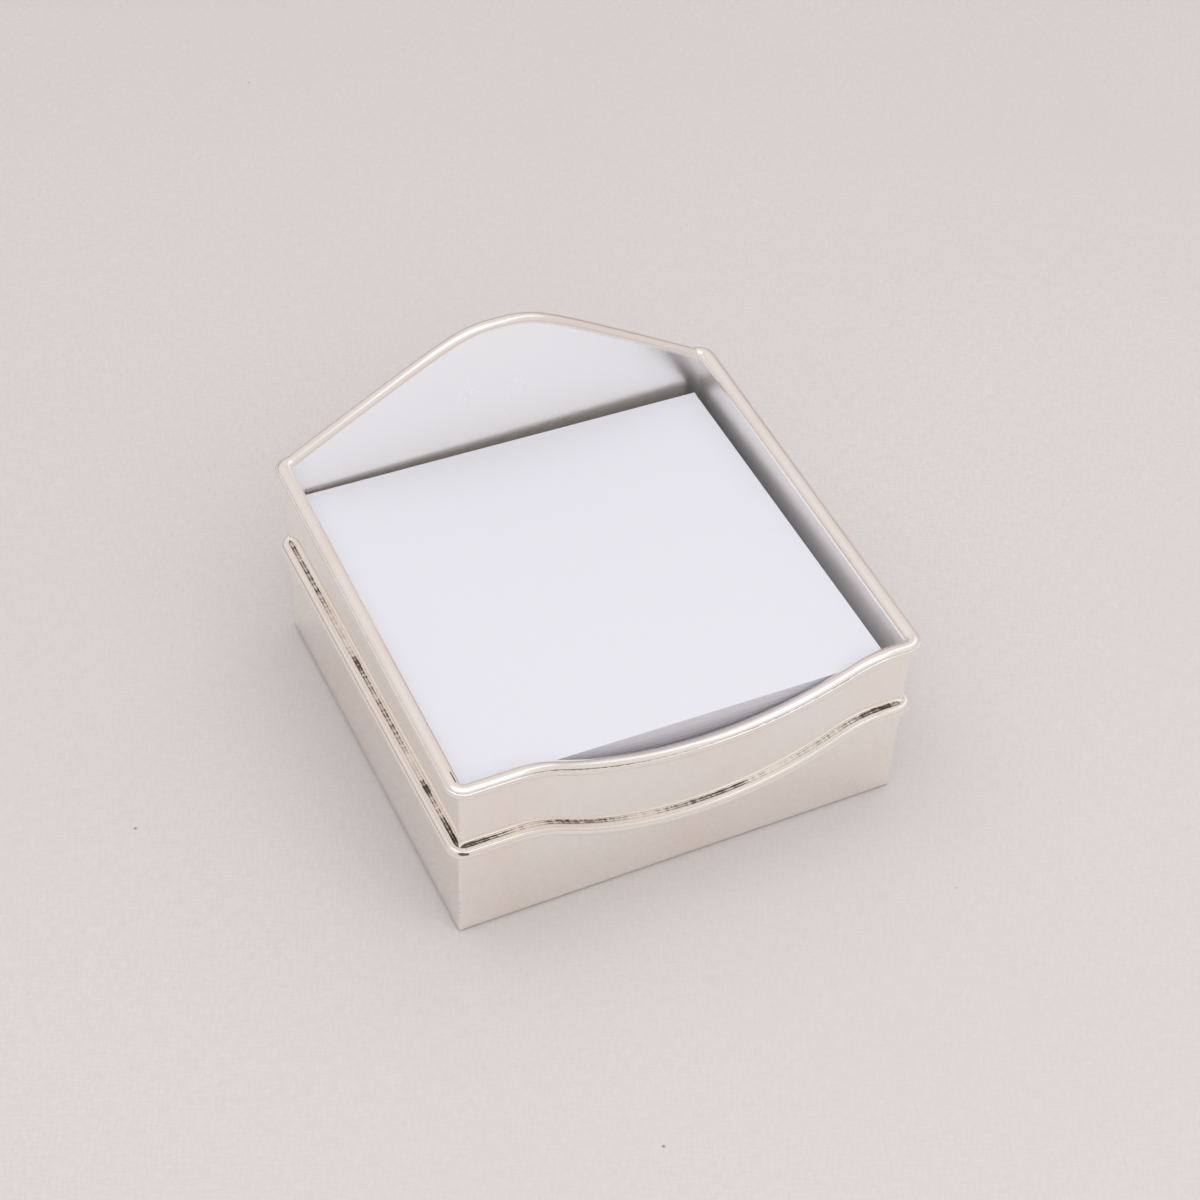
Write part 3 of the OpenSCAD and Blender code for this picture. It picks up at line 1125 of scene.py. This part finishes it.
def cloth_sweep():
    """Pale cloth that lies flat under the tray and rises behind it."""
    path = [(y, 0.0) for y in (-CLOTH_HALF, -0.6, 0.0, 0.4, CLOTH_RISE)]
    for i in range(1, 13):
        a = math.radians(90 * i / 12)
        path.append((CLOTH_RISE + CLOTH_BEND * math.sin(a), CLOTH_BEND * (1 - math.cos(a))))
    path.append((CLOTH_RISE + CLOTH_BEND, CLOTH_TOP))
    across = (-CLOTH_HALF, -0.7, 0.0, 0.7, CLOTH_HALF)
    mesh = bpy.data.meshes.new("cloth")
    bm = bmesh.new()
    rows = [[bm.verts.new((x, y, z)) for x in across] for y, z in path]
    for a, b in zip(rows, rows[1:]):
        for j in range(len(a) - 1):
            bm.faces.new((a[j], a[j + 1], b[j + 1], b[j]))
    bm.to_mesh(mesh)
    bm.free()
    cloth = added("cloth", mesh)
    mesh.polygons.foreach_set("use_smooth", [True] * len(mesh.polygons))
    mesh.materials.append(cloth_paint("cloth"))


# Soft lamps: name, place, width, depth, brightness, and whether polished silver mirrors them.
# Cycles adds a lamp's light to the room behind it, so a mirrored lamp is only a little brighter
# than the room, and the fill lamps that light the cloth and paper aren't mirrored.
LAMPS = (
    ("overhead_lamp", (-0.12, 0.04, 1.05), 0.74, 1.15, 0.28, True),
    ("right_lamp", (0.70, 0.30, 0.92), 0.40, 0.66, 0.27, True),
    ("high_fill", (-0.08, -0.08, 1.05), 1.15, 0.80, 0.76, False),
    ("front_fill", (0.06, -0.66, 0.75), 1.20, 0.60, 1.0, False),
)


MIRRORED_COLOUR = (0.74, 1.0, 1.26)
FILL_COLOUR = (0.985, 1.0, 1.03)
LAMP_TARGET = Vector((0, 0, 0.02))


def soft_lamp(name, place_at, size_x, size_y, radiance, mirrored):
    """A rectangular soft lamp that faces the tray."""
    data = bpy.data.lights.new(name, "AREA")
    data.shape = "RECTANGLE"
    data.size, data.size_y = size_x, size_y
    data.energy = radiance * math.pi * size_x * size_y * finish().lamp_level
    data.color = MIRRORED_COLOUR if mirrored else FILL_COLOUR
    lamp = added(name, data)
    lamp.visible_glossy = mirrored
    lamp.location = place_at
    lamp.rotation_mode = "QUATERNION"
    lamp.rotation_quaternion = (Vector(place_at) - LAMP_TARGET).to_track_quat("Z", "Y")


# Colours of the room from the horizon to overhead
ROOM_LEVELS = (
    (0.0, (0.66, 0.59, 0.56)), (0.17, (0.78, 0.71, 0.69)), (0.5, (0.85, 0.775, 0.755)),
    (0.76, (0.89, 0.83, 0.81)), (0.9, (0.95, 0.93, 0.92)),
)


def room_light():
    """Room light: pale overhead and dimmer towards the horizon."""
    world = bpy.data.worlds.new("room")
    bpy.context.scene.world = world
    world.use_nodes = True
    tree = world.node_tree
    tree.nodes.clear()
    output = tree.nodes.new("ShaderNodeOutputWorld")
    light = tree.nodes.new("ShaderNodeBackground")
    light.inputs["Strength"].default_value = finish().sky_strength
    where = tree.nodes.new("ShaderNodeTexCoord")
    parts = tree.nodes.new("ShaderNodeSeparateXYZ")
    ramp = tree.nodes.new("ShaderNodeValToRGB")
    tree.links.new(where.outputs["Generated"], parts.inputs[0])
    tree.links.new(parts.outputs["Z"], ramp.inputs[0])
    tree.links.new(ramp.outputs["Color"], light.inputs["Color"])
    tree.links.new(light.outputs[0], output.inputs["Surface"])
    band = ramp.color_ramp
    while len(band.elements) < len(ROOM_LEVELS):
        band.elements.new(0.5)
    for element, (height, colour) in zip(band.elements, ROOM_LEVELS):
        element.position = height
        element.color = (*colour, 1)


class TRAY_OT_stage(bpy.types.Operator):
    """Set the cloth, the soft lamps, the room light and the camera"""

    bl_idname = "tray.stage"
    bl_label = "Stage"

    def execute(self, context):
        cloth_sweep()
        for lamp in LAMPS:
            soft_lamp(*lamp)
        room_light()
        camera_at_photo()
        context.scene.view_settings.view_transform = "Standard"
        return {"FINISHED"}


class TRAY_PT_panel(bpy.types.Panel):
    """Lists the steps that build the tray"""

    bl_idname = "TRAY_PT_panel"
    bl_label = "Note Tray"
    bl_space_type = "VIEW_3D"
    bl_region_type = "UI"
    bl_category = "Note Tray"

    def draw(self, context):
        for step in STEPS:
            self.layout.operator(step.bl_idname)
        for group in (context.scene.tray_sizes, context.scene.tray_finish):
            for key in group.bl_rna.properties.keys():
                if key not in ("rna_type", "name"):
                    self.layout.prop(group, key)


STEPS = (
    TRAY_OT_stage, TRAY_OT_walls, TRAY_OT_rim, TRAY_OT_girdle,
    TRAY_OT_underside, TRAY_OT_block, TRAY_OT_sheet,
)
CLASSES = (TraySizes, TrayFinish, *STEPS, TRAY_PT_panel)


def register():
    for kind in CLASSES:
        bpy.utils.register_class(kind)
    bpy.types.Scene.tray_sizes = PointerProperty(type=TraySizes)
    bpy.types.Scene.tray_finish = PointerProperty(type=TrayFinish)


def unregister():
    del bpy.types.Scene.tray_finish
    del bpy.types.Scene.tray_sizes
    for kind in reversed(CLASSES):
        bpy.utils.unregister_class(kind)


def main():
    register()
    bpy.ops.tray.stage()
    bpy.ops.tray.walls()
    bpy.ops.tray.rim()
    bpy.ops.tray.girdle()
    bpy.ops.tray.underside()
    bpy.ops.tray.block()
    bpy.ops.tray.sheet()


if __name__ == "__main__":
    main()
